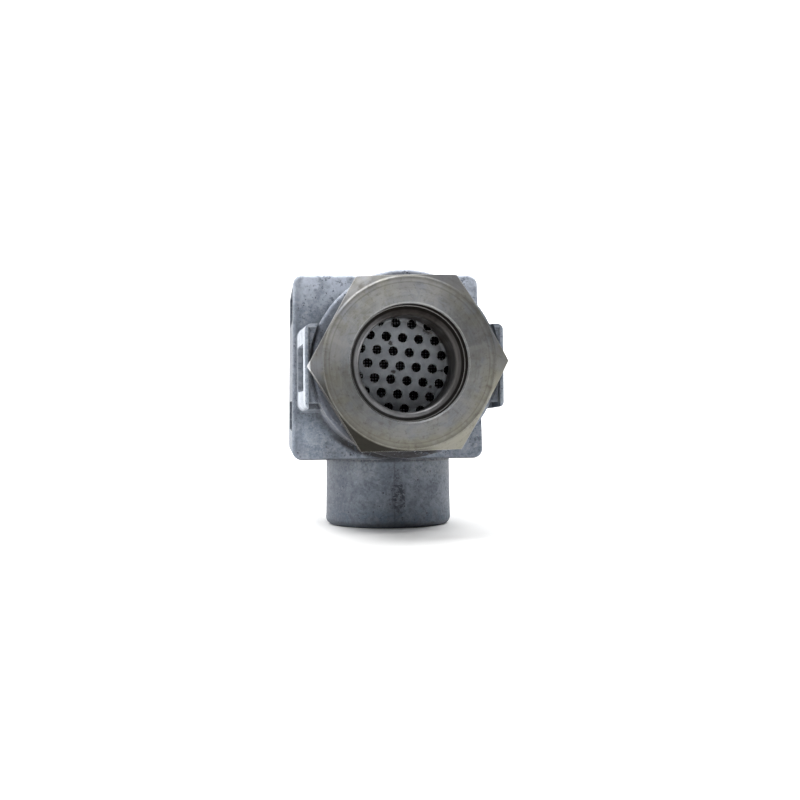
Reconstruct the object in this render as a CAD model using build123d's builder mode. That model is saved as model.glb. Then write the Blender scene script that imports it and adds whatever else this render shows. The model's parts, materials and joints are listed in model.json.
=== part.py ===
from build123d import *
from math import cos, radians, sin, tan
import os

# Right-angle pneumatic muffler, in millimetres, +Z up.
# Air enters the threaded boss below, fills the round chamber in the cast housing, passes through
# the walls of the sound-absorbing cartridge and leaves through the perforated screen in the
# outlet nut, which faces -Y.  The origin is the centre of the inlet port's mouth.

# Inlet port: G 1/2 female thread, drawn at its minor diameter
PORT_R = 9.32
PORT_DEPTH = 15.0
PORT_PASSAGE_R = 8.6
PORT_CHAMFER = 0.4
BOSS_R = 15.4
BOSS_DRAFT = 0.6
BOSS_EDGE_R = 1.7

# The outlet axis runs along Y through this point
OUT_X = -0.6
OUT_Z = 37.7

# Stations along the outlet axis, from the nut's front face to the rear cover
NUT_FRONT = -52.5
HEX_BACK = NUT_FRONT + 7.8
LUG_FRONT = NUT_FRONT + 8.7
NUT_SHOULDER = NUT_FRONT + 8.8
COLLAR_FRONT = NUT_FRONT + 10.3
NUT_END = NUT_FRONT + 25.5
CHAMBER_FRONT = NUT_FRONT + 29.0
BODY_FACE = -BOSS_R
BODY_REAR = 24.5

# Body section, measured from the outlet axis
BODY_LEFT = 23.1
BODY_RIGHT = 21.35
BODY_TAPER_LEFT = 0.28
BODY_TAPER_RIGHT = 0.53
BODY_TOP = 22.15
BODY_BOTTOM = 21.3
BODY_CORNER_R = 2.3
BODY_EDGE_R = 0.9

# Side pockets above and below the round chamber wall
POCKET_FRONT = BODY_FACE + 3.5
POCKET_REAR = 18.5
POCKET_INNER_X = 14.6
POCKET_WALL_R = 19.6
POCKET_HEIGHTS = ((11.6, 19.4), (-14.6, -7.4))

# Round collar, cast a little off its bore's axis, and the two lugs beside it
COLLAR_R = 20.1
COLLAR_SHIFT = (0.35, 0.2)
LUG_REACH = 22.1
LUG_TOP = 9.6
LUG_BOTTOM = 10.1
LUG_CORNERS = (2.4, 2.0)
LUG_DRAFT = 1.9
LUG_WALL = 0.8
LUG_POCKET_DEPTH = (0.5, 2.6)
LUG_NOTCH = (1.1, 10.0)
EJECTOR_MARK = (19.6, 6.8, 0.6, 0.7)
LUG_RECESS = (20.5, 10.2)
LUG_RECESS_FRONT = LUG_FRONT + 5.2
LUG_RECESS_Z = -0.35
LUG_RECESS_DEPTH = 2.4

# Outlet nut: 36 mm across flats, screwed into the collar by an M32 x 1.5 thread
HEX_FLATS = 36.0
HEX_TURN = 1.2
HEX_FACE_R = 17.6
HEX_CLEAR_R = 22.0
HEX_CORNER_R = 0.5
NUT_BORE_R = 12.06
NUT_SEAT_R = 11.88
NUT_THREAD_R = 15.9
THREAD_PITCH = 1.5
THREAD_DEPTH = 0.82
THREAD_CREST = 0.2
THREAD_TURNS = 8
NUT_SHOULDER_R = 17.8
NUT_OUTLET_R = 11.0
THREAD_CLEARANCE = 0.07
CHAMBER_R = 17.2

# Screen pressed into the nut's bore
RING_FRONT = NUT_FRONT + 4.03
RING_BACK = RING_FRONT + 2.0
RING_INNER_R = 10.15
SCREEN_FLOOR = NUT_FRONT + 18.2
SCREEN_SHEET = 1.2
SCREEN_R = 11.83
SCREEN_HOLE_R = 1.07
SCREEN_PITCH = 3.58
SCREEN_TURN = -5.5
MESH_THICKNESS = 0.5
SCREEN_SEAT = SCREEN_FLOOR + SCREEN_SHEET + MESH_THICKNESS

# Cartridge: layers from the middle outwards, as inner and outer radii
INNER_TUBE = (9.6, 10.2)
INNER_FELT = (10.2, 11.6)
OUTER_FELT = (11.6, 13.1)
MESH_WRAP = (13.1, 13.4)
OUTER_TUBE = (13.4, 14.0)
CAP_R = 14.6
CAP_SHEET = 1.2
CAP_SKIRT = 4.2
CARTRIDGE_FRONT = NUT_END + 1.1
CARTRIDGE_REAR = BODY_REAR - 1.5

# Rear cover and its fastenings
GASKET = 0.8
COVER = 3.5
COVER_FRONT = BODY_REAR + GASKET
COVER_REAR = COVER_FRONT + COVER
SPIGOT = (14.7, 16.8)
SPIGOT_LENGTH = 6.0
SCREW_R = 1.95
SCREW_HOLE_R = 2.0
SCREW_LENGTH = 10.0
SCREW_HEAD = (3.5, 4.0)
SCREW_SOCKET = (3.0, 2.2)
WASHER = (2.1, 3.5, 1.0)
SCREW_X = (-18.1, 16.4)
SCREW_Z = (-16.2, 17.1)

OUTLET_AXIS = Axis((OUT_X, 0, OUT_Z), (0, 1, 0))
HALF_SECTION = Plane(origin=(OUT_X, 0, OUT_Z))


def station(y, turn=0):
    """A plane square to the outlet axis at y, seen from the front: x right, y up."""
    x_dir = (cos(radians(turn)), 0, sin(radians(turn)))
    return Plane(origin=(OUT_X, y, OUT_Z), x_dir=x_dir, z_dir=(0, -1, 0))


def write(piece, label):
    piece.part.label = label
    export_step(piece.part, f"parts/{label}.step")


def body_outline():
    """The body's four corners, from the outlet axis; the base is a little wider than the top."""
    return (
        (-BODY_LEFT + BODY_TAPER_LEFT, BODY_TOP),
        (BODY_RIGHT - BODY_TAPER_RIGHT, BODY_TOP),
        (BODY_RIGHT + BODY_TAPER_RIGHT, -BODY_BOTTOM),
        (-BODY_LEFT - BODY_TAPER_LEFT, -BODY_BOTTOM),
    )


def screw_points():
    return [(x, z) for x in SCREW_X for z in SCREW_Z]


def thread_profile(front):
    """The nut's thread as a row of V grooves, each with a crest in front of it."""
    flank = (THREAD_PITCH - THREAD_CREST) / 2
    points = []
    for turn in range(THREAD_TURNS):
        y = front + turn * THREAD_PITCH
        points += [(NUT_THREAD_R, y), (NUT_THREAD_R, y + THREAD_CREST)]
        points.append((NUT_THREAD_R - THREAD_DEPTH, y + THREAD_CREST + flank))
    return points


def turned(label, outline):
    """One piece revolved about the outlet axis from its (radius, y) outline."""
    with BuildPart() as piece:
        with BuildSketch(HALF_SECTION):
            with BuildLine():
                Polyline(*outline, close=True)
            make_face()
        revolve(axis=OUTLET_AXIS)
    write(piece, label)


def ring(label, inner_r, outer_r, front, back):
    turned(label, ((inner_r, front), (outer_r, front), (outer_r, back), (inner_r, back)))


def perforated_tube(label, radii, front, back, hole_r, around, pitch):
    """A tube along the outlet axis with staggered rows of round holes through its wall."""
    inner_r, outer_r = radii
    rows = int((back - front - 2 * pitch) / pitch)
    first = (front + back - (rows - 1) * pitch) / 2
    with BuildPart() as tube:
        with BuildSketch(station(back)):
            Circle(outer_r)
            Circle(inner_r, mode=Mode.SUBTRACT)
        extrude(amount=back - front)
        for row in range(rows):
            for hole in range(around):
                angle = 360 / around * (hole + 0.5 * (row % 2))
                outward = (cos(radians(angle)), 0, sin(radians(angle)))
                start = (OUT_X, first + row * pitch, OUT_Z)
                with BuildSketch(Plane(origin=start, z_dir=outward).offset(inner_r - 1)):
                    Circle(hole_r)
                extrude(amount=outer_r - inner_r + 2, mode=Mode.SUBTRACT)
    write(tube, label)


os.makedirs("parts", exist_ok=True)

# Housing: one die casting
with BuildPart() as housing:
    with BuildSketch(station(BODY_REAR)):
        with BuildLine():
            Polyline(*body_outline(), close=True)
        make_face()
        fillet(vertices(), BODY_CORNER_R)
    extrude(amount=BODY_REAR - BODY_FACE)
    fillet(faces().sort_by(Axis.Y)[0].edges(), BODY_EDGE_R)

    # Pockets in both flanks, where the round chamber leaves the square corners solid
    with BuildSketch(station(POCKET_REAR)):
        for low, high in POCKET_HEIGHTS:
            for side in (-1, 1):
                width = 2 * (BODY_LEFT + 2 - POCKET_INNER_X)
                with Locations((side * (POCKET_INNER_X + width / 2), (low + high) / 2)):
                    RectangleRounded(width, high - low, 1.2)
        Circle(POCKET_WALL_R, mode=Mode.SUBTRACT)
    extrude(amount=POCKET_REAR - POCKET_FRONT, mode=Mode.SUBTRACT)

    # Lugs: one bar across the collar, whose middle the collar swallows
    with BuildSketch(station(BODY_FACE + 1)) as lug_bar:
        with Locations((0, (LUG_TOP - LUG_BOTTOM) / 2)):
            Rectangle(2 * LUG_REACH, LUG_TOP + LUG_BOTTOM)
        fillet(lug_bar.vertices().group_by(Axis.Y)[-1], LUG_CORNERS[0])
        fillet(lug_bar.vertices().group_by(Axis.Y)[0], LUG_CORNERS[1])
    lug_length = BODY_FACE + 1 - LUG_FRONT
    extrude(amount=lug_length, taper=LUG_DRAFT)
    # Side recess in each lug
    for side in (-1, 1):
        start = OUT_X + side * (LUG_REACH - LUG_RECESS_DEPTH)
        recess = Plane(
            origin=(start, LUG_RECESS_FRONT + LUG_RECESS[0] / 2, OUT_Z + LUG_RECESS_Z),
            x_dir=(0, 1, 0),
            z_dir=(side, 0, 0),
        )
        with BuildSketch(recess):
            RectangleRounded(*LUG_RECESS, 1.0)
        extrude(amount=4, mode=Mode.SUBTRACT)

    # Front pocket inside each lug's outer wall: its floor slopes down into a notch, open below
    draft_inset = lug_length * tan(radians(LUG_DRAFT))
    pocket_top = LUG_TOP - draft_inset - LUG_WALL
    pocket_reach = LUG_REACH - draft_inset - LUG_WALL
    notch_top = LUG_NOTCH[0] - LUG_BOTTOM + draft_inset
    pocket_start = (OUT_X - pocket_reach, 0, OUT_Z)
    with BuildSketch(Plane(origin=pocket_start, x_dir=(0, 1, 0), z_dir=(1, 0, 0))):
        with BuildLine():
            Polyline(
                (LUG_FRONT - 1, pocket_top),
                (LUG_FRONT + LUG_POCKET_DEPTH[0], pocket_top),
                (LUG_FRONT + LUG_POCKET_DEPTH[1], notch_top),
                (LUG_FRONT + LUG_NOTCH[1], notch_top),
                (LUG_FRONT + LUG_NOTCH[1], -LUG_BOTTOM - 1),
                (LUG_FRONT - 1, -LUG_BOTTOM - 1),
                close=True,
            )
        make_face()
    extrude(amount=2 * pocket_reach, mode=Mode.SUBTRACT)
    mark_x, mark_z, mark_r, mark_depth = EJECTOR_MARK
    with BuildSketch(station(LUG_FRONT + mark_depth)):
        with Locations((-mark_x, mark_z), (mark_x, mark_z)):
            Circle(mark_r)
    extrude(amount=mark_depth + 1, mode=Mode.SUBTRACT)

    with BuildSketch(station(COLLAR_FRONT + 1)):
        with Locations(COLLAR_SHIFT):
            Circle(COLLAR_R + 0.3)
    extrude(amount=6, mode=Mode.SUBTRACT)
    with BuildSketch(station(BODY_FACE + 1)):
        with Locations(COLLAR_SHIFT):
            Circle(COLLAR_R)
    extrude(amount=BODY_FACE + 1 - COLLAR_FRONT)
    round_edges = edges().filter_by(GeomType.CIRCLE)
    collar_edges = round_edges.filter_by(lambda e: abs(e.radius - COLLAR_R) < 0.01)
    fillet(collar_edges.group_by(Axis.Y)[0], 0.8)

    # Inlet boss
    with BuildSketch():
        Circle(BOSS_R)
    extrude(amount=OUT_Z - CHAMBER_R, taper=BOSS_DRAFT)
    fillet(edges().group_by(Axis.Z)[0], BOSS_EDGE_R)

    # Inlet port and its passage up to the chamber
    with BuildSketch(HALF_SECTION.offset(-OUT_Z)):
        with Locations((-OUT_X, 0)):
            Circle(PORT_PASSAGE_R)
    extrude(amount=OUT_Z - CHAMBER_R / 2, mode=Mode.SUBTRACT)
    with BuildSketch():
        Circle(PORT_R)
    extrude(amount=PORT_DEPTH, mode=Mode.SUBTRACT)
    chamfer(edges().group_by(Axis.Z)[0].sort_by(SortBy.LENGTH)[0], PORT_CHAMFER)

    # Threaded bore in the collar, opening into the chamber, which is open at the rear
    with BuildSketch(HALF_SECTION):
        with BuildLine():
            thread_r = NUT_THREAD_R + THREAD_CLEARANCE
            cone = CHAMBER_R - thread_r
            Polyline(
                (0, COLLAR_FRONT - 1),
                (thread_r + 1.6, COLLAR_FRONT - 1),
                (thread_r, COLLAR_FRONT + 0.6),
                (thread_r, CHAMBER_FRONT),
                (CHAMBER_R, CHAMBER_FRONT + cone),
                (CHAMBER_R, BODY_REAR + 1),
                (0, BODY_REAR + 1),
                close=True,
            )
        make_face()
    revolve(axis=OUTLET_AXIS, mode=Mode.SUBTRACT)

    # Tapped holes for the cover screws, through the rear flange into the pockets
    with BuildSketch(station(BODY_REAR + 1)):
        with Locations(*screw_points()):
            Circle(SCREW_HOLE_R)
    extrude(amount=BODY_REAR + 2 - POCKET_REAR, mode=Mode.SUBTRACT)
write(housing, "housing")

# Outlet nut: hexagon, shoulder and threaded shank in one turned piece
with BuildPart() as outlet_nut:
    with BuildSketch(station(HEX_BACK)) as hexagon:
        RegularPolygon(HEX_FLATS / 2, 6, major_radius=False, rotation=HEX_TURN)
        fillet(hexagon.vertices(), HEX_CORNER_R)
    extrude(amount=HEX_BACK - NUT_FRONT)
    with BuildSketch(HALF_SECTION):
        with BuildLine():
            rise = (HEX_CLEAR_R - HEX_FACE_R) * tan(radians(30))
            Polyline(
                (0, NUT_FRONT),
                (HEX_FACE_R, NUT_FRONT),
                (HEX_CLEAR_R, NUT_FRONT + rise),
                (HEX_CLEAR_R, HEX_BACK - rise),
                (HEX_FACE_R, HEX_BACK),
                (0, HEX_BACK),
                close=True,
            )
        make_face()
    revolve(axis=OUTLET_AXIS, mode=Mode.INTERSECT)
    with BuildSketch(HALF_SECTION):
        with BuildLine():
            Polyline(
                (0, HEX_BACK),
                (NUT_SHOULDER_R, HEX_BACK),
                (NUT_SHOULDER_R, NUT_SHOULDER),
                (NUT_THREAD_R - 1.0, NUT_SHOULDER),
                (NUT_THREAD_R - 1.0, NUT_SHOULDER + 1.4),
                *thread_profile(NUT_END - 1.0 - THREAD_TURNS * THREAD_PITCH),
                (NUT_THREAD_R, NUT_END - 1.0),
                (NUT_THREAD_R - 1.0, NUT_END),
                (0, NUT_END),
                close=True,
            )
        make_face()
    revolve(axis=OUTLET_AXIS)
    with BuildSketch(HALF_SECTION):
        with BuildLine():
            Polyline(
                (0, NUT_FRONT - 1),
                (NUT_BORE_R + 1.3, NUT_FRONT - 1),
                (NUT_BORE_R, NUT_FRONT + 0.3),
                (NUT_BORE_R, RING_FRONT),
                (NUT_SEAT_R, RING_FRONT),
                (NUT_SEAT_R, SCREEN_SEAT),
                (NUT_OUTLET_R, SCREEN_SEAT),
                (NUT_OUTLET_R, NUT_END + 1),
                (0, NUT_END + 1),
                close=True,
            )
        make_face()
    revolve(axis=OUTLET_AXIS, mode=Mode.SUBTRACT)
write(outlet_nut, "outlet_nut")

# Bonded seal under the nut's shoulder: a steel ring with a rubber lip inside it
SEAL_GAP = 0.05
ring("nut_seal_ring", 16.75, NUT_SHOULDER_R, NUT_SHOULDER + SEAL_GAP, COLLAR_FRONT - SEAL_GAP)
ring("nut_seal_lip", 16.1, 16.75, NUT_SHOULDER + SEAL_GAP, COLLAR_FRONT - SEAL_GAP)

# Retaining ring in front of the screen, its front edges rounded
with BuildPart() as screen_retaining_ring:
    with BuildSketch(HALF_SECTION) as section:
        with Locations(((RING_INNER_R + NUT_SEAT_R) / 2, (RING_FRONT + RING_BACK) / 2)):
            Rectangle(NUT_SEAT_R - RING_INNER_R, RING_BACK - RING_FRONT)
        front_corners = section.vertices().group_by(Axis.Y)[0].sort_by(Axis.X)
        fillet(front_corners[0], 0.5)
        fillet(front_corners[-1], 0.4)
    revolve(axis=OUTLET_AXIS)
write(screen_retaining_ring, "screen_retaining_ring")

# Perforated screen: a drawn cup whose flat floor carries the holes
with BuildPart() as outlet_screen:
    cup_back = SCREEN_FLOOR + SCREEN_SHEET
    with BuildSketch(station(cup_back)):
        Circle(SCREEN_R)
    extrude(amount=cup_back - RING_BACK)
    fillet(faces().sort_by(Axis.Y)[-1].edges(), 1.0)
    with BuildSketch(station(RING_BACK)):
        Circle(SCREEN_R - SCREEN_SHEET)
    extrude(amount=-(SCREEN_FLOOR - RING_BACK), mode=Mode.SUBTRACT)
    inner_floor = faces().filter_by(GeomType.PLANE).sort_by(Axis.Y)[-2]
    fillet(inner_floor.edges(), 0.9)
    step = SCREEN_PITCH
    lattice = [
        (step * (i + j / 2), step * j * sin(radians(60)))
        for i in range(-3, 4)
        for j in range(-3, 4)
        if i * i + i * j + j * j <= 9
    ]
    with BuildSketch(station(cup_back + 1, SCREEN_TURN)):
        with Locations(*lattice):
            Circle(SCREEN_HOLE_R)
    extrude(amount=SCREEN_SHEET + 1.6, mode=Mode.SUBTRACT)
write(outlet_screen, "outlet_screen")

ring("screen_backing_mesh", 0, SCREEN_R - 0.1, SCREEN_SEAT - MESH_THICKNESS, SCREEN_SEAT)

# Cartridge, from the gasket behind the nut to the closed rear cap
ring("cartridge_front_gasket", 11.4, 14.4, CARTRIDGE_FRONT - 1.0, CARTRIDGE_FRONT)
turned(
    "cartridge_front_cap",
    (
        (INNER_TUBE[0], CARTRIDGE_FRONT),
        (CAP_R, CARTRIDGE_FRONT),
        (CAP_R, CARTRIDGE_FRONT + CAP_SHEET + CAP_SKIRT),
        (OUTER_TUBE[1], CARTRIDGE_FRONT + CAP_SHEET + CAP_SKIRT),
        (OUTER_TUBE[1], CARTRIDGE_FRONT + CAP_SHEET),
        (INNER_TUBE[0], CARTRIDGE_FRONT + CAP_SHEET),
    ),
)
turned(
    "cartridge_rear_cap",
    (
        (0, CARTRIDGE_REAR),
        (CAP_R, CARTRIDGE_REAR),
        (CAP_R, CARTRIDGE_REAR - CAP_SHEET - CAP_SKIRT),
        (OUTER_TUBE[1], CARTRIDGE_REAR - CAP_SHEET - CAP_SKIRT),
        (OUTER_TUBE[1], CARTRIDGE_REAR - CAP_SHEET),
        (0, CARTRIDGE_REAR - CAP_SHEET),
    ),
)
LAYERS_FRONT = CARTRIDGE_FRONT + CAP_SHEET
LAYERS_BACK = CARTRIDGE_REAR - CAP_SHEET
perforated_tube("cartridge_inner_tube", INNER_TUBE, LAYERS_FRONT, LAYERS_BACK, 1.25, 12, 4.4)
perforated_tube("cartridge_outer_tube", OUTER_TUBE, LAYERS_FRONT, LAYERS_BACK, 1.5, 14, 5.2)
ring("absorber_inner_sleeve", *INNER_FELT, LAYERS_FRONT, LAYERS_BACK)
ring("absorber_outer_sleeve", *OUTER_FELT, LAYERS_FRONT, LAYERS_BACK)
ring("absorber_mesh_wrap", *MESH_WRAP, LAYERS_FRONT, LAYERS_BACK)
ring("cartridge_rear_pad", 7.0, 13.8, CARTRIDGE_REAR, COVER_FRONT)

# Rear cover with a spigot that centres the cartridge
with BuildPart() as rear_cover:
    with BuildSketch(station(COVER_REAR)):
        with BuildLine():
            Polyline(*body_outline(), close=True)
        make_face()
        fillet(vertices(), BODY_CORNER_R)
    extrude(amount=COVER)
    chamfer(faces().sort_by(Axis.Y)[-1].edges(), 0.7)
    with BuildSketch(station(COVER_FRONT)):
        Circle(SPIGOT[1])
        Circle(SPIGOT[0], mode=Mode.SUBTRACT)
    extrude(amount=SPIGOT_LENGTH)
    with BuildSketch(station(COVER_REAR + 1)):
        with Locations(*screw_points()):
            Circle(SCREW_HOLE_R + 0.2)
    extrude(amount=COVER + 2, mode=Mode.SUBTRACT)
write(rear_cover, "rear_cover")

with BuildPart() as cover_gasket:
    with BuildSketch(station(COVER_FRONT)):
        with BuildLine():
            Polyline(*body_outline(), close=True)
        make_face()
        fillet(vertices(), BODY_CORNER_R)
        Circle(CHAMBER_R, mode=Mode.SUBTRACT)
        with Locations(*screw_points()):
            Circle(SCREW_HOLE_R + 0.2, mode=Mode.SUBTRACT)
    extrude(amount=GASKET)
write(cover_gasket, "cover_gasket")

# Four split lock washers and four socket head screws
with BuildPart() as cover_lock_washers:
    with BuildSketch(station(COVER_REAR + WASHER[2])):
        with Locations(*screw_points()):
            Circle(WASHER[1])
            Circle(WASHER[0], mode=Mode.SUBTRACT)
        with Locations(*[(x + WASHER[1], z) for x, z in screw_points()]):
            Rectangle(2 * WASHER[1], 0.5, mode=Mode.SUBTRACT)
    extrude(amount=WASHER[2])
write(cover_lock_washers, "cover_lock_washers")

with BuildPart() as cover_screws:
    head_seat = COVER_REAR + WASHER[2]
    with BuildSketch(station(head_seat)):
        with Locations(*screw_points()):
            Circle(SCREW_R)
    extrude(amount=SCREW_LENGTH)
    with BuildSketch(station(head_seat)):
        with Locations(*screw_points()):
            Circle(SCREW_HEAD[0])
    extrude(amount=-SCREW_HEAD[1])
    chamfer(faces().group_by(Axis.Y)[-1].edges(), 0.4)
    with BuildSketch(station(head_seat + SCREW_HEAD[1])):
        with Locations(*screw_points()):
            RegularPolygon(SCREW_SOCKET[0] / 2, 6, major_radius=False)
    extrude(amount=SCREW_SOCKET[1], mode=Mode.SUBTRACT)
write(cover_screws, "cover_screws")
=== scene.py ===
import json
import math

import bmesh
import bpy
from mathutils import Matrix, Vector


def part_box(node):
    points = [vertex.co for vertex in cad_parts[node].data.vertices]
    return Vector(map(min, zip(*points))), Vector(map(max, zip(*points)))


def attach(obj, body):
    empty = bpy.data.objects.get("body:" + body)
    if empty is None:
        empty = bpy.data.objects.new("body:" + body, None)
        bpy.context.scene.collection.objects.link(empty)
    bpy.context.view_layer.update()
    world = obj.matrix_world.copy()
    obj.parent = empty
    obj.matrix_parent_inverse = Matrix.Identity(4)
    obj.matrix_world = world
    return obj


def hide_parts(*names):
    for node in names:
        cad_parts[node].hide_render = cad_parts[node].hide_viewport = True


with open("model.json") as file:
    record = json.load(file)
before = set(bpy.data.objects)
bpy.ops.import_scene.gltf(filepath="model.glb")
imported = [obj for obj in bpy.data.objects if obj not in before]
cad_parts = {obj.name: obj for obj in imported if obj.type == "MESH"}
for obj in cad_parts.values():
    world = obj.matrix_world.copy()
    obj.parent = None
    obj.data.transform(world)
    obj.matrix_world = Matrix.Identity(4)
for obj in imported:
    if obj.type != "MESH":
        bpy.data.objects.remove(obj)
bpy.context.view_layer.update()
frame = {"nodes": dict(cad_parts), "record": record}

MM = 0.001


def outlet_centre():
    """Centre of the nut's front face: a mount gives the outlet axis, and the nut's box its front."""
    bore = next(mount for mount in frame["record"]["mounts"] if mount["name"] == "outlet_bore")
    x, _, z = bore["pos_m"]
    nut_low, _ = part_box("outlet_nut")
    return Vector((x, nut_low.y, z))


OUT = outlet_centre()


# ---------------------------------------------------------------- materials

class Nodes:
    """A node tree, with a short way to add nodes and to set or link their inputs."""

    def __init__(self, tree):
        self.tree = tree

    def put(self, socket, value):
        if isinstance(value, bpy.types.NodeSocket):
            self.tree.links.new(value, socket)
        elif socket.type == "RGBA":
            socket.default_value = (*value, 1)
        else:
            socket.default_value = value

    def node(self, kind, inputs=None, **settings):
        made = self.tree.nodes.new(kind)
        for key, value in settings.items():
            setattr(made, key, value)
        for key, value in (inputs or {}).items():
            self.put(made.inputs[key], value)
        return made

    def math(self, operation, *values):
        return self.node("ShaderNodeMath", dict(enumerate(values)), operation=operation).outputs[0]

    def times(self, product, *factors):
        """The product of any number of sockets and numbers."""
        for factor in factors:
            product = self.math("MULTIPLY", product, factor)
        return product


class Graph(Nodes):
    """One procedural material. Every pattern is laid out on the object's own coordinates.

    The limits of a ramp, and the distances of bump, soften, shade_and_soiling and edges, are in
    millimetres.
    Other lengths are in metres, and the scale of a pattern is per metre.
    """

    def __init__(self, name, metallic):
        self.material = bpy.data.materials.new(name)
        self.material.use_nodes = True
        super().__init__(self.material.node_tree)
        self.shader = self.tree.nodes["Principled BSDF"]
        self.shader.inputs["Metallic"].default_value = metallic
        self.where = self.node("ShaderNodeTexCoord").outputs["Object"]
        self.x, self.y, self.z = self.node("ShaderNodeSeparateXYZ", {0: self.where}).outputs
        self.colour = None
        self.normal = None

    # patterns

    def noise(self, scale, detail, rough, stretch=(1, 1, 1), shift=(0, 0, 0), distort=0.0):
        place = self.node("ShaderNodeMapping", {
            "Vector": self.where, "Location": shift, "Scale": stretch})
        made = self.node("ShaderNodeTexNoise", {
            "Vector": place.outputs[0], "Scale": scale, "Detail": detail,
            "Roughness": rough, "Distortion": distort})
        return made.outputs["Fac"]

    def cells(self, scale, shift):
        place = self.node("ShaderNodeMapping", {"Vector": self.where, "Location": shift})
        made = self.node("ShaderNodeTexVoronoi", {"Vector": place.outputs[0], "Scale": scale})
        return made.outputs["Distance"]

    def shade_and_soiling(self, distance):
        """Painted shade with some soiling: 1 in corners and under overhangs, 0 in the open."""
        made = self.node("ShaderNodeAmbientOcclusion", {"Distance": distance * MM}, samples=6)
        hidden, open_air = 0.35, 0.95
        return self.span(made.outputs["AO"], hidden, open_air, 1.0, 0.0)

    def edges(self, radius, amount):
        """The amount along sharp outer edges, 0 on flat faces."""
        soft = self.node("ShaderNodeBevel", {"Radius": radius * MM}, samples=6).outputs[0]
        true = self.node("ShaderNodeNewGeometry").outputs["Normal"]
        made = self.node("ShaderNodeVectorMath", {0: soft, 1: true}, operation="DOT_PRODUCT")
        flat, sharp = 0.995, 0.86
        return self.span(made.outputs["Value"], flat, sharp, 0.0, amount)

    # places

    def away(self, x, z):
        """Distance from the line along y through a point."""
        off_x = self.math("SUBTRACT", self.x, x)
        off_z = self.math("SUBTRACT", self.z, z)
        return self.math("SQRT", self.math("ADD", self.times(off_x, off_x), self.times(off_z, off_z)))

    def radius(self):
        """Distance from the outlet axis."""
        return self.away(OUT.x, OUT.z)

    def depth(self):
        """Distance behind the nut's front face, at rest."""
        return self.math("SUBTRACT", self.y, OUT.y)

    def gap(self, a, b):
        """Distance between two values."""
        return self.math("ABSOLUTE", self.math("SUBTRACT", a, b))

    def towards(self, x, z):
        """-1 to 1: how far a point lies in the (x, z) direction from the outlet axis."""
        off_x = self.math("SUBTRACT", self.x, OUT.x)
        off_z = self.math("SUBTRACT", self.z, OUT.z)
        along = self.math("ADD", self.times(off_x, x), self.times(off_z, z))
        above_zero = self.math("MAXIMUM", self.radius(), 1 * MM)
        return self.math("DIVIDE", along, above_zero)

    # masks

    def span(self, value, low, high, to_low=0.0, to_high=1.0):
        """Value from low..high mapped smoothly to to_low..to_high, and held there outside."""
        made = self.node("ShaderNodeMapRange", {
            "Value": value, "From Min": low, "From Max": high,
            "To Min": to_low, "To Max": to_high}, interpolation_type="SMOOTHSTEP")
        return made.outputs["Result"]

    def ramp(self, length, low, high, to_low=0.0, to_high=1.0):
        """A span over a coordinate or a distance, with low and high in millimetres."""
        return self.span(length, low * MM, high * MM, to_low, to_high)

    # layers of colour and relief

    def mix(self, factor, a, b):
        made = self.node("ShaderNodeMix", data_type="RGBA")
        self.put(made.inputs[0], factor)
        self.put(made.inputs[6], a)
        self.put(made.inputs[7], b)
        return made.outputs[2]

    def lay(self, colour, *amounts):
        """Put a colour over what is there, as strongly as the product of the amounts."""
        self.colour = self.mix(self.times(*amounts), self.colour, colour)

    def scale(self, by):
        """Make what is there darker or lighter."""
        made = self.node("ShaderNodeVectorMath", {0: self.colour, "Scale": by}, operation="SCALE")
        self.colour = made.outputs["Vector"]

    def scale_where(self, mask, by):
        """Make it darker or lighter where the mask is 1."""
        self.scale(self.span(mask, 0.0, 1.0, 1.0, by))

    def soften(self, radius):
        """Start the surface normal as if every edge were rounded to this radius."""
        self.normal = self.node("ShaderNodeBevel", {"Radius": radius * MM}, samples=4).outputs[0]

    def bump(self, height, strength, distance):
        inputs = {"Height": height, "Strength": strength, "Distance": distance * MM}
        if self.normal:
            inputs["Normal"] = self.normal
        self.normal = self.node("ShaderNodeBump", inputs).outputs[0]

    def finish(self, roughness, gloss=0.5):
        self.put(self.shader.inputs["Base Color"], self.colour)
        self.put(self.shader.inputs["Roughness"], roughness)
        self.put(self.shader.inputs["Specular IOR Level"], gloss)
        if self.normal:
            self.put(self.shader.inputs["Normal"], self.normal)
        return self.material


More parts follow.
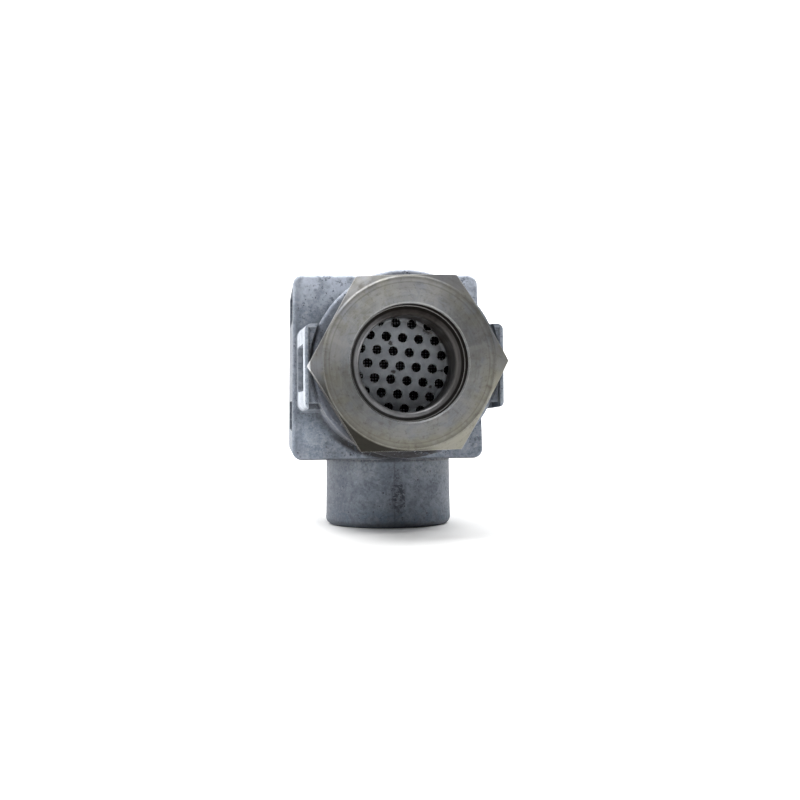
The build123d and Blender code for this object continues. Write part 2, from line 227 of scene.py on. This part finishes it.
class Casting(Graph):
    """Sand-textured die casting: blue-grey mottling, dark specks in patches, pale worn edges with a
    painted highlight, painted shade in corners.
    """

    def __init__(self, name):
        super().__init__(name, metallic=0.45)
        self.soften(0.3)
        self.cloud = self.noise(380, 4, 0.65, shift=(0.7, 0.2, 0.5), distort=0.6)
        self.mottle = self.noise(1500, 4, 0.7, shift=(0.3, 0.1, 0.2))
        self.speck = self.noise(1600, 3, 0.62, stretch=(0.8, 1.0, 1.0), shift=(0.9, 0.4, 0.1))
        self.flake = self.noise(2000, 3, 0.6, stretch=(0.7, 1.0, 1.0), shift=(0.2, 0.6, 0.7))
        self.skin()
        self.marks()

    def skin(self):
        """Blue-grey mottling, with paler, darker, bluer and greyer areas in it."""
        tint = self.noise(160, 3, 0.6, shift=(0.8, 0.3, 0.6), distort=0.4)
        darker, paler = (0.140, 0.163, 0.200), (0.238, 0.264, 0.306)
        self.colour = self.mix(self.span(self.mottle, 0.36, 0.64), darker, paler)
        self.lay((0.310, 0.338, 0.385), self.span(self.cloud, 0.45, 0.62, 0.0, 0.50))
        self.lay((0.115, 0.134, 0.170), self.span(self.cloud, 0.46, 0.36, 0.0, 0.40))
        self.lay((0.175, 0.212, 0.260), self.span(tint, 0.52, 0.66, 0.0, 0.36))
        self.lay((0.228, 0.236, 0.268), self.span(tint, 0.47, 0.34, 0.0, 0.28))

    def marks(self):
        """Where the dark dots, pale flakes and pits lie. They are laid last, by wear()."""
        busy = self.span(self.noise(115, 3, 0.6, shift=(0.31, 0.12, 0.2)), 0.44, 0.54, 0.15, 1.0)
        self.dots = self.times(self.span(self.speck, 0.585, 0.625), busy)
        in_clouds = self.span(self.cloud, 0.48, 0.56, 0.10, 1.0)
        self.flakes = self.times(self.span(self.flake, 0.57, 0.63), in_clouds)
        pores = self.span(self.cells(900, shift=(0.02, 0.01, 0.03)), 0.16, 0.26, 1.0, 0.0)
        self.pits = self.times(pores, busy, self.span(self.mottle, 0.50, 0.54))

    def wear_and_shade(self, dotted):
        """The marks, painted shade and soiling in the corners, and pale worn edges with a painted
        highlight; dotted is how dark the dots are.
        """
        self.lay((0.380, 0.410, 0.455), self.flakes, 0.34)
        self.lay((0.060, 0.070, 0.095), self.dots, dotted)
        self.lay((0.030, 0.034, 0.046), self.pits, 0.85)
        # painted shade, with some soiling, in corners and under overhangs
        self.lay((0.060, 0.063, 0.070), self.shade_and_soiling(3), 0.42)
        # pale edges: wear, with a painted highlight along them
        self.lay((0.50, 0.54, 0.60), self.edges(0.5, 0.30))
        self.bump(self.cloud, 0.25, 0.4)
        self.bump(self.mottle, 0.35, 0.2)
        self.bump(self.noise(3200, 3, 0.6, shift=(0.1, 0.5, 0.9)), 0.35, 0.08)
        self.bump(self.math("MAXIMUM", self.dots, self.pits), -0.5, 0.12)
        return self.finish(self.span(self.mottle, 0.3, 0.7, 0.66, 0.50))


def housing_metal():
    """The casting with its own marks and with painted light and shade, which lie at fixed places on
    boss, collar, body and lugs.
    """
    g = Casting("cast_housing")
    painted_light_on_top(g)
    boss_marks_and_shade(g)
    collar_shade_and_shadow(g)
    body_light_and_shade(g)
    return g.wear_and_shade(dotted=g.ramp(g.z, 16.5, 18.0, 0.40, 0.66))


def cover_metal():
    g = Casting("cast_cover")
    g.scale(0.70)
    return g.wear_and_shade(dotted=0.55)


def on_boss(g):
    """1 on the inlet boss, 0 on the body, whose underside lies 16.4 mm above the port's mouth."""
    return g.ramp(g.z, 17.5, 15.5)


def painted_light_on_top(g):
    """Painted light towards the top, on the body's front face and on the collar before it."""
    height = g.ramp(g.z, 48, 60)
    uneven = g.span(g.cloud, 0.35, 0.60, 0.40, 1.0)
    not_behind = g.ramp(g.y, -12.0, -14.5)
    g.lay((0.560, 0.600, 0.680), height, uneven, not_behind, 0.95)


def boss_marks_and_shade(g):
    """A boss darkened with painted shade, a painted shadow along its root, a parting line down its
    front and a porous patch beside it.
    """
    boss = on_boss(g)
    front = g.ramp(g.y, -0.5, -4.0)
    ahead = g.times(front, boss)

    wander = g.math("MULTIPLY_ADD", g.noise(420, 2, 0.5), 0.4 * MM, -0.2 * MM)
    aside = g.math("ABSOLUTE", g.math("ADD", g.x, wander))
    seam = g.times(g.ramp(aside, 0.06, 0.30, 1.0, 0.0), ahead)
    shade = g.times(g.ramp(aside, 0.2, 2.2, 1.0, 0.0), ahead)

    patch_x, patch_z, half_width, half_height = 1.0, 8.2, 1.6, 4.5
    off_x = g.math("DIVIDE", g.math("SUBTRACT", g.x, patch_x * MM), half_width * MM)
    off_z = g.math("DIVIDE", g.math("SUBTRACT", g.z, patch_z * MM), half_height * MM)
    oval = g.math("ADD", g.times(off_x, off_x), g.times(off_z, off_z))
    ragged = g.math("ADD", oval, g.math("MULTIPLY_ADD", g.noise(700, 3, 0.6), 2.0, -1.0))
    porous = g.times(g.span(ragged, 0.4, 1.4, 1.0, 0.0), ahead)
    g.pits = g.math("MAXIMUM", g.pits, g.times(porous, g.span(g.speck, 0.49, 0.53)))
    g.flakes = g.math("MAXIMUM", g.flakes, g.times(porous, 0.8, g.span(g.flake, 0.53, 0.57)))
    g.flakes = g.times(g.flakes, g.ramp(g.z, 16.5, 18.0, 0.45, 1.0))

    # painted shade over the whole boss, under the overhanging body and nut
    g.lay((0.050, 0.058, 0.075), boss, 0.38)
    # painted shadow along the boss's root, under the body's underside
    root_z = 16.2
    root = g.ramp(g.gap(g.z, root_z * MM), 0.2, 0.7, 0.8, 0.0)
    g.lay((0.035, 0.036, 0.042), root)
    upper = g.times(g.ramp(g.z, 10.5, 13.5), ahead)
    beside_seam = g.ramp(g.math("ABSOLUTE", g.x), 2, 6)
    g.lay((0.240, 0.255, 0.270), upper, beside_seam, g.span(g.speck, 0.44, 0.54), 0.55)
    lower = g.times(g.ramp(g.z, 6.0, 2.5), front)
    g.lay((0.075, 0.110, 0.150), lower, g.span(g.cloud, 0.45, 0.60, 0.0, 0.7))
    g.lay((0.05, 0.055, 0.07), shade, 0.18)
    g.lay((0.05, 0.055, 0.07), porous, 0.30)
    g.lay((0.03, 0.035, 0.045), seam, 0.28)
    g.bump(seam, 0.4, 0.1)


def collar_shade_and_shadow(g):
    """Painted shade on the collar, darkest at its lower left, and a painted shadow below it and under
    the nut.
    """
    r = g.radius()
    collar = g.times(g.ramp(r, 20.6, 20.0), g.ramp(g.y, -28, -33))
    # painted shade over the collar, deepest at its lower left
    g.lay((0.150, 0.160, 0.200), collar, 0.40)
    g.lay((0.070, 0.078, 0.100), collar, g.span(g.towards(-0.75, -0.66), 0.2, 0.9, 0.0, 0.65))
    # painted shadow of the nut on the body below it
    under = g.times(g.ramp(r, 22.5, 19.5), g.span(g.towards(-0.30, -0.95), 0.3, 0.85))
    g.lay((0.060, 0.065, 0.080), under, 0.60)
    shadow = g.times(g.ramp(r, 21.8, 20.8), g.span(g.towards(-0.15, -0.99), 0.78, 0.92))
    g.lay((0.018, 0.016, 0.017), shadow, 0.95)


def body_light_and_shade(g):
    """Painted light and shade over the body, the lugs and the boss."""
    # painted shade along the body's left edge
    left_edge = g.times(g.ramp(g.x, -20.8, -23.0), g.ramp(g.y, -20, -17))
    g.lay((0.080, 0.095, 0.120), left_edge, 0.42)

    # painted shade on the back of the body and on the sleeve behind the collar's rim
    rear = g.ramp(g.y, -14.5, -12.0)
    behind_collar_rim = g.times(g.ramp(g.y, -40.5, -38.5), g.ramp(g.y, -15.5, -17.5))
    above_boss = g.ramp(g.z, 15.5, 17.5)
    g.scale_where(g.times(g.math("MAXIMUM", rear, behind_collar_rim), above_boss), 0.72)

    # painted light on the left foot and on the left lug's face
    left_foot = g.times(g.ramp(g.x, -15.0, -18.5), g.ramp(g.z, 27, 22))
    left_lug_face = g.times(g.ramp(g.x, -18, -19), g.ramp(g.y, -36, -38))
    g.scale_where(g.math("MAXIMUM", left_foot, left_lug_face), 1.28)

    # painted light at the lug ends
    lug_end = g.times(g.ramp(g.gap(g.x, OUT.x), 20.6, 21.1), g.ramp(g.y, -16.5, -20.0))
    g.lay((0.50, 0.54, 0.60), lug_end, g.span(g.cloud, 0.35, 0.60, 0.35, 0.70))

    # painted shade on the boss's left flank
    boss_left = g.times(g.ramp(g.x, -7.5, -12.5), on_boss(g))
    g.lay((0.055, 0.063, 0.082), boss_left, 0.50)


def tool_marks(g, per_metre, detail):
    """Rings left by the turning tool: noise along the radius, the rings a little uneven."""
    uneven = g.math("MULTIPLY_ADD", g.noise(260, 2, 0.5, shift=(0.4, 0.8, 0.2)), 0.2 * MM, -0.1 * MM)
    along = g.times(g.math("ADD", g.radius(), uneven), per_metre)
    return g.node("ShaderNodeTexNoise", {"W": along, "Scale": 1.0, "Detail": detail},
                  noise_dimensions="1D").outputs["Fac"]


def nut_metal():
    """Turned steel under worn plating: rings from the tool, olive and grey patches, stains, nicks."""
    g = Graph("nut_steel", metallic=0.70)
    g.soften(0.3)
    r = g.radius()
    depth = g.depth()
    face = g.ramp(depth, 0.3, 0.1)
    patches = g.noise(130, 4, 0.6, shift=(0.4, 0.4, 0.1))
    bluish = g.noise(170, 3, 0.6, shift=(0.1, 0.7, 0.6))
    stain = g.noise(420, 5, 0.65, shift=(0.9, 0.1, 0.3))
    fine = g.noise(1500, 4, 0.7, shift=(0.5, 0.1, 0.8))
    worn = g.noise(330, 4, 0.65, shift=(0.2, 0.4, 0.7), distort=0.8)
    streak = tool_marks(g, 7000, 4)
    groove = tool_marks(g, 1800, 2)

    g.colour = g.mix(g.span(patches, 0.40, 0.62), (0.172, 0.171, 0.172), (0.166, 0.163, 0.138))
    g.lay((0.160, 0.168, 0.186), g.span(bluish, 0.48, 0.64, 0.0, 0.8))
    inner = g.ramp(r, 15.2, 13.6)
    g.lay((0.150, 0.158, 0.172), inner, g.span(patches, 0.35, 0.60, 0.75, 0.45))
    outer = g.ramp(r, 14.8, 16.4)
    g.lay((0.178, 0.170, 0.132), outer, g.span(g.towards(0.35, -0.94), -0.1, 0.8, 0.0, 0.75))
    g.lay((0.240, 0.238, 0.232), g.span(streak, 0.35, 0.70, 0.0, 0.17))
    g.lay((0.100, 0.096, 0.080), g.span(groove, 0.54, 0.68, 0.0, 0.16))
    g.lay((0.090, 0.082, 0.066), g.span(stain, 0.52, 0.70, 0.0, 0.50))
    g.lay((0.225, 0.222, 0.212), face, g.span(worn, 0.50, 0.62, 0.0, 0.42))
    g.lay((0.112, 0.108, 0.094), face, g.span(worn, 0.46, 0.36, 0.0, 0.42))
    g.lay((0.060, 0.055, 0.046), g.span(fine, 0.56, 0.70, 0.0, 0.45))

    # painted sheen: the face is painted brightest at its upper left, which is where the chamfer is
    # painted darkest
    upper_left = g.towards(-0.42, 0.91)
    on_face = g.math("ADD", g.span(upper_left, 0.15, 0.95, 0.74, 1.66),
                     g.span(g.towards(0.57, -0.82), 0.1, 0.95, 0.0, 0.32))
    on_chamfer = g.span(upper_left, 0.2, 0.9, 1.15, 0.62)
    g.scale(g.mix(face, on_chamfer, on_face))

    rim_radius, line_radius = 17.4, 16.5
    rim = g.times(g.ramp(g.gap(r, rim_radius * MM), 0.05, 0.5, 1.0, 0.0), g.ramp(depth, 1.2, 0.2))
    g.lay((0.080, 0.075, 0.058), rim, 0.40)
    scribed = g.times(g.ramp(g.gap(r, line_radius * MM), 0.03, 0.2, 1.0, 0.0), face)
    g.lay((0.085, 0.080, 0.062), scribed, 0.30)
    # painted shade inside the bore, just behind the face
    bore = g.times(g.ramp(r, 12.5, 12.1), g.ramp(depth, 0.2, 1.0))
    g.lay((0.012, 0.009, 0.008), bore, 0.97)
    # painted shade on the lower left chamfers and flats, which face down
    lower_left_flats = g.times(g.ramp(r, 17.6, 18.0), g.span(g.towards(-0.6, -0.8), 0.5, 0.9))
    g.lay((0.016, 0.014, 0.012), lower_left_flats, 0.88)
    # painted shade, with some soiling, in the corners
    g.lay((0.030, 0.025, 0.020), g.shade_and_soiling(4), 0.65)
    # pale edges: wear, with a painted highlight along them
    g.lay((0.50, 0.50, 0.49), g.edges(0.4, 0.50))
    # painted highlight on the worn left corner
    left_corner = g.times(g.span(g.towards(-1.0, -0.03), 0.982, 0.994), g.ramp(r, 20.1, 20.4))
    g.lay((0.60, 0.61, 0.63), left_corner, 0.75)

    g.bump(groove, 0.12, 0.1)
    g.bump(streak, 0.15, 0.03)
    g.bump(stain, 0.10, 0.2)
    g.bump(fine, 0.15, 0.06)
    g.bump(scribed, -0.5, 0.08)
    # the places of painted shade are also made matt
    dark_and_matt = g.math("MAXIMUM", bore, lower_left_flats)
    rough = g.mix(dark_and_matt, g.span(stain, 0.3, 0.7, 0.36, 0.52), (0.85, 0.85, 0.85))
    return g.finish(rough, gloss=g.span(dark_and_matt, 0.0, 1.0, 0.5, 0.03))


def ring_metal():
    """The retaining ring: turned steel, painted dark with shade, with painted light along its lower
    left part and on its right.
    """
    g = Graph("ring_steel", metallic=0.75)
    g.soften(0.3)
    tone = g.noise(500, 4, 0.6, shift=(0.2, 0.9, 0.4))
    streak = tool_marks(g, 9000, 4)
    # where the ring is painted lit
    lit_lower_left = g.span(g.towards(-0.75, -0.66), -0.50, 0.60)

    g.colour = g.mix(g.span(tone, 0.35, 0.65), (0.21, 0.21, 0.22), (0.30, 0.30, 0.31))
    g.lay((0.40, 0.40, 0.405), g.span(streak, 0.4, 0.7, 0.0, 0.4))
    # the lit copy of the steel
    lit_steel = g.colour
    # the same steel painted dark with shade
    g.colour = g.mix(g.span(tone, 0.35, 0.65), (0.030, 0.026, 0.024), (0.048, 0.043, 0.040))
    # painted light on its right
    g.lay((0.125, 0.120, 0.118), g.span(g.towards(0.97, -0.25), 0.20, 0.95, 0.0, 0.80))
    # painted light over its lower left part
    g.lay(lit_steel, lit_lower_left)
    # painted shade in the gap round its outer edge
    outer_edge = g.ramp(g.radius(), 11.10, 11.35)
    g.lay((0.008, 0.006, 0.005), outer_edge, 0.9)
    # painted shade, with some soiling, in the corners
    g.lay((0.02, 0.017, 0.015), g.shade_and_soiling(2), 0.5)
    # painted highlight along the edges of the lit part
    g.lay((0.40, 0.39, 0.38), g.edges(0.3, 0.35), g.span(lit_lower_left, 0.0, 1.0, 0.10, 1.0))
    g.bump(streak, 0.25, 0.03)
    g.bump(tone, 0.15, 0.1)
    return g.finish(g.span(lit_lower_left, 0.0, 1.0, 0.70, 0.36), gloss=g.span(lit_lower_left, 0.0, 1.0, 0.05, 0.5))


# Stains on the screen: x, z and size in millimetres
SCREEN_STAINS = (
    (-2.7, 42.6, 0.75), (-2.1, 36.4, 0.60), (6.0, 33.1, 0.50),
    (5.8, 45.6, 1.80), (8.4, 43.3, 1.40), (8.6, 36.6, 0.45),
)


def screen_metal():
    """The perforated cup: pale plated floor with a few stains and a hair, painted light in its holes,
    painted shade on its side wall and towards its upper right.
    """
    g = Graph("screen_steel", metallic=0.25)
    r = g.radius()
    tone = g.noise(380, 4, 0.6, shift=(0.2, 0.6, 0.4))
    ragged = g.noise(1500, 4, 0.7, shift=(0.6, 0.6, 0.1))
    g.colour = g.mix(g.span(tone, 0.35, 0.68), (0.290, 0.312, 0.342), (0.395, 0.418, 0.448))
    # painted shade, with some soiling, in the corners
    g.lay((0.05, 0.048, 0.046), g.shade_and_soiling(2.5), 0.40)
    # painted light on the walls of the holes
    lit_hole_walls = g.ramp(g.depth(), 18.3, 18.5, 0.0, 0.9)
    g.lay((0.80, 0.81, 0.82), lit_hole_walls)

    for x, z, size in SCREEN_STAINS:
        edge = g.math("MULTIPLY_ADD", ragged, 2.2 * size * MM, -0.6 * size * MM)
        beyond = g.math("SUBTRACT", g.away(x * MM, z * MM), edge)
        g.lay((0.030, 0.027, 0.025), g.ramp(beyond, 0.0, 0.25, 0.9, 0.0))
    hair_slope, hair_z = 0.15, 35.4
    hair = g.gap(g.z, g.math("MULTIPLY_ADD", g.x, hair_slope, hair_z * MM))
    along = g.times(g.ramp(g.x, 6.8, 7.2), g.ramp(g.x, 10.0, 9.4))
    g.lay((0.03, 0.03, 0.03), g.ramp(hair, 0.06, 0.16, 0.8, 0.0), along)

    # painted shade on the side wall, which is also made matt
    wall = g.ramp(r, 10.3, 10.7)
    g.lay((0.030, 0.024, 0.021), wall, 0.92)
    # painted shade towards the upper right
    shade_upper_right = g.times(g.ramp(r, 7.0, 10.7), g.span(g.towards(0.6, 0.8), 0.1, 1.0))
    g.lay((0.05, 0.043, 0.038), shade_upper_right, g.span(tone, 0.35, 0.6, 0.4, 1.0), 0.75)
    # pale edges: wear, with a painted highlight along them
    g.lay((0.62, 0.64, 0.65), g.edges(0.2, 0.40))
    g.bump(tone, 0.12, 0.2)
    g.bump(g.noise(2200, 3, 0.6), 0.15, 0.04)
    return g.finish(g.span(tone, 0.3, 0.7, 0.52, 0.40), gloss=g.span(wall, 0.0, 1.0, 0.4, 0.03))


def toned(colour, by):
    """A colour times a number, no channel above 1."""
    return [min(1.0, by * channel) for channel in colour]


def sheet_metal(name, pale, dark, metallic, rough, gloss=0.5):
    """Rolled or plated sheet: fine grain, faint scratches, painted shade and soiling in the corners,
    specks of soiling, pale edges with a painted highlight.
    """
    g = Graph(name, metallic)
    tone = g.noise(260, 4, 0.6, shift=(0.2, 0.6, 0.4))
    scratch = g.noise(900, 2, 0.5, stretch=(1.0, 1.0, 0.06))
    specks = g.span(g.cells(420, shift=(0.011, 0.0, 0.007)), 0.05, 0.10, 1.0, 0.0)
    some = g.span(g.noise(150, 2, 0.5, shift=(0.8, 0.3, 0.3)), 0.52, 0.60)
    g.colour = g.mix(g.span(tone, 0.35, 0.68), dark, pale)
    g.lay((0.03, 0.028, 0.025), specks, some, 0.8)
    # painted shade, with some soiling, in the corners
    g.lay(toned(dark, 0.18), g.shade_and_soiling(3), 0.65)
    # pale edges: wear, with a painted highlight along them
    g.lay(toned(pale, 1.3), g.edges(0.3, 0.35))
    g.bump(scratch, 0.15, 0.04)
    g.bump(g.noise(2600, 2, 0.6), 0.15, 0.04)
    return g.finish(g.span(tone, 0.3, 0.7, rough + 0.08, rough - 0.05), gloss)


def soft_fibre(name, pale, dark, scale, depth):
    """Felt, pressed fibre or rubber: tangled fine noise with a slightly uneven tone."""
    g = Graph(name, metallic=0.0)
    tone = g.noise(scale * 0.2, 3, 0.6)
    fibre = g.noise(scale, 5, 0.75, distort=1.5)
    g.colour = g.mix(g.span(tone, 0.35, 0.65), dark, pale)
    g.lay(toned(dark, 0.5), g.span(fibre, 0.35, 0.6, 0.5, 0.0))
    # painted shade, with some soiling, in the corners
    g.lay(toned(dark, 0.3), g.shade_and_soiling(3), 0.5)
    g.bump(fibre, 0.6, depth)
    return g.finish(g.span(fibre, 0.3, 0.7, 0.95, 0.8))


# Material slots of the record
finishes = {
    "cast_housing": housing_metal(),
    "cast_cover": cover_metal(),
    "nut_steel": nut_metal(),
    "ring_steel": ring_metal(),
    "screen_steel": screen_metal(),
    "zinc_steel": sheet_metal("zinc_steel", (0.50, 0.51, 0.50), (0.34, 0.34, 0.32), 0.85, 0.38),
    "cap_steel": sheet_metal("cap_steel", (0.58, 0.60, 0.62), (0.42, 0.43, 0.44), 0.9, 0.32),
    "tube_steel": sheet_metal("tube_steel", (0.52, 0.54, 0.56), (0.38, 0.39, 0.40), 0.9, 0.38),
    # the wire cloth is painted near black and matt, as painted shade behind the holes
    "mesh_steel": sheet_metal("mesh_steel", (0.006, 0.005, 0.005), (0.003, 0.003, 0.002), 0.1, 0.8,
                              gloss=0.02),
    "seal_rubber": soft_fibre("seal_rubber", (0.035, 0.035, 0.038), (0.02, 0.02, 0.022), 1500, 0.04),
    "gasket_fibre": soft_fibre("gasket_fibre", (0.20, 0.23, 0.22), (0.12, 0.14, 0.135), 1800, 0.06),
    "fine_felt": soft_fibre("fine_felt", (0.70, 0.67, 0.60), (0.52, 0.49, 0.43), 1400, 0.2),
    "coarse_felt": soft_fibre("coarse_felt", (0.52, 0.50, 0.45), (0.34, 0.33, 0.29), 900, 0.3),
}

for part in frame["record"]["subparts"]:
    node = frame["nodes"][part["node"]]
    node.data.materials.clear()
    node.data.materials.append(finishes[part["material_slot"]])


# ---------------------------------------------------------------- pieces

def add_object(name, data):
    """An object for a mesh, a light or a camera, in the scene."""
    made = bpy.data.objects.new(name, data)
    bpy.context.scene.collection.objects.link(made)
    return made


def add_mesh(name, mesh, material):
    """An object from a bmesh, in one material."""
    data = bpy.data.meshes.new(name)
    mesh.to_mesh(data)
    mesh.free()
    data.materials.append(material)
    return add_object(name, data)


def new_piece(name, mesh, body, slot):
    """A piece from a bmesh, riding on a body, in the finish of a material slot."""
    piece = add_mesh(name, mesh, finishes[slot])
    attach(piece, body)
    return piece


def wire(mesh, points, across, up, radius, sides):
    """A bent round wire through points; across and up span the plane its sections lie in."""
    turns = [2 * math.pi * k / sides for k in range(sides)]
    section = [radius * (math.cos(a) * across + math.sin(a) * up) for a in turns]
    rings = [[mesh.verts.new(point + corner) for corner in section] for point in points]
    for a, b in zip(rings, rings[1:]):
        for k in range(sides):
            mesh.faces.new((a[k], a[k - 1], b[k - 1], b[k])).smooth = True
    mesh.faces.new(rings[0])
    mesh.faces.new(rings[-1][::-1])


def wire_cloth():
    """Plain-woven wire cloth behind the perforated cup, where the CAD has a flat disc."""
    low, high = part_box("screen_backing_mesh")
    centre = (low + high) / 2
    margin, pitch, radius = 0.10 * MM, 0.62 * MM, 0.11 * MM
    points_per_pitch, least_points, sides = 8, 4, 5
    reach = (high.x - low.x) / 2 - margin
    count = int(reach / pitch)
    right, deep, up = Vector((1, 0, 0)), Vector((0, 1, 0)), Vector((0, 0, 1))
    mesh = bmesh.new()
    for along, across, phase in ((right, up, 0), (up, right, 1)):
        for row in range(-count, count + 1):
            half = math.sqrt(reach ** 2 - (row * pitch) ** 2)
            steps = max(least_points, int(half / pitch * points_per_pitch))
            points = []
            for k in range(steps + 1):
                s = half * (2 * k / steps - 1)
                rise = radius * math.cos(math.pi * (s / pitch + row + phase))
                points.append(centre + s * along + row * pitch * across + rise * deep)
            wire(mesh, points, across, deep, radius, sides)
    cloth = new_piece("wire_cloth", mesh, "outlet_nut", "mesh_steel")
    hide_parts("screen_backing_mesh")


wire_cloth()


# ---------------------------------------------------------------- stage, light, camera

def stage_material():
    g = Graph("studio_paper", metallic=0.0)
    tone = g.noise(3, 2, 0.5)
    g.colour = g.mix(tone, (0.86, 0.86, 0.86), (0.90, 0.90, 0.895))
    g.bump(g.noise(900, 2, 0.5), 0.05, 0.1)
    return g.finish(g.span(tone, 0.3, 0.7, 0.75, 0.85))


def backdrop():
    """A pale sheet: flat floor under the object that curves up far behind it."""
    half_width, near, far, top = 12.0, -6.0, 1.5, 2.4
    bend, steps = 0.8, 16
    profile = [(near, 0.0), (far - bend, 0.0)]
    for k in range(1, steps + 1):
        a = math.pi / 2 * k / steps
        profile.append((far - bend + bend * math.sin(a), bend - bend * math.cos(a)))
    profile.append((far, top))
    mesh = bmesh.new()
    pairs = [[mesh.verts.new((side * half_width, y, z)) for side in (-1, 1)] for y, z in profile]
    for a, b in zip(pairs, pairs[1:]):
        mesh.faces.new((a[0], a[1], b[1], b[0])).smooth = True
    sheet = add_mesh("backdrop", mesh, stage_material())


def sky():
    """Even white studio all round, dimmer on the side that faces the outlet."""
    world = bpy.data.worlds.new("studio")
    bpy.context.scene.world = world
    world.use_nodes = True
    tree = Nodes(world.node_tree)
    direction = tree.node("ShaderNodeTexCoord").outputs["Generated"]
    x, y, _ = tree.node("ShaderNodeSeparateXYZ", {0: direction}).outputs
    # from about -1 in front of the outlet to 1 behind it, and higher on the left than on the right
    back_and_left = tree.math("MULTIPLY_ADD", x, -0.45, y)
    strength = tree.node("ShaderNodeMapRange", {
        "Value": back_and_left, "From Min": -0.9, "From Max": 0.1, "To Min": 0.09, "To Max": 0.62})
    background = world.node_tree.nodes["Background"]
    tree.put(background.inputs["Strength"], strength.outputs["Result"])
    tree.put(background.inputs["Color"], (0.97, 0.985, 1.0))


# Square area lights: name, place, aim and side in metres, power in watts
LIGHTS = (
    ("key", (-0.14, -0.26, 0.38), (0, -0.02, 0.04), 0.16, 1.0),
    ("overhead", (-0.04, -0.06, 0.32), (0, -0.04, 0.05), 0.08, 0.10),
    ("top", (0.0, 0.10, 1.2), (0, 0, 0), 0.9, 7.5),
    ("left", (-0.90, 0.12, 0.14), (0, 0, 0.03), 0.4, 2.2),
    ("wall_left", (-0.9, 0.5, 1.4), (0, 1.5, 0.4), 0.8, 30),
    ("wall_right", (0.9, 0.5, 1.4), (0, 1.5, 0.4), 0.8, 30),
)


def area_light(name, place, aim, side, power):
    data = bpy.data.lights.new(name, "AREA")
    data.shape = "RECTANGLE"
    data.size = data.size_y = side
    data.energy = power
    lamp = add_object(name, data)
    lamp.location = place
    lamp.rotation_mode = "QUATERNION"
    lamp.rotation_quaternion = (Vector(aim) - Vector(place)).to_track_quat("-Z", "Y")


def camera():
    """Seen from 7 degrees to the left of the outlet axis and 2 degrees below it, 236 mm away.

    The angles were found by fitting a camera to the edges in the photograph.
    """
    azimuth, elevation = math.radians(-7.0), math.radians(-2.18)
    yaw, pitch, roll = math.radians(-0.52), math.radians(-1.84), math.radians(-0.5)
    distance = 236.1 * MM
    focal_length, sensor_width = 52.155, 36
    nearest, farthest = 0.01, 50
    back = Vector((math.sin(azimuth) * math.cos(elevation),
                   -math.cos(azimuth) * math.cos(elevation), math.sin(elevation)))
    look = -back
    right = look.cross(Vector((0, 0, 1))).normalized()
    up = right.cross(look)
    axis = (look * math.cos(pitch) * math.cos(yaw) + right * math.sin(yaw)
            + up * math.sin(pitch) * math.cos(yaw)).normalized()
    side = axis.cross(up).normalized()
    top = side.cross(axis)
    side, top = (side * math.cos(roll) + top * math.sin(roll),
                 top * math.cos(roll) - side * math.sin(roll))
    data = bpy.data.cameras.new("camera")
    data.lens, data.sensor_width = focal_length, sensor_width
    data.clip_start, data.clip_end = nearest, farthest
    seen = add_object("camera", data)
    turn = Matrix((side, top, -axis)).transposed()
    seen.matrix_world = Matrix.Translation(OUT + back * distance) @ turn.to_4x4()
    bpy.context.scene.camera = seen


backdrop()
sky()
for light in LIGHTS:
    area_light(*light)
camera()
bpy.context.scene.view_settings.view_transform = "Standard"
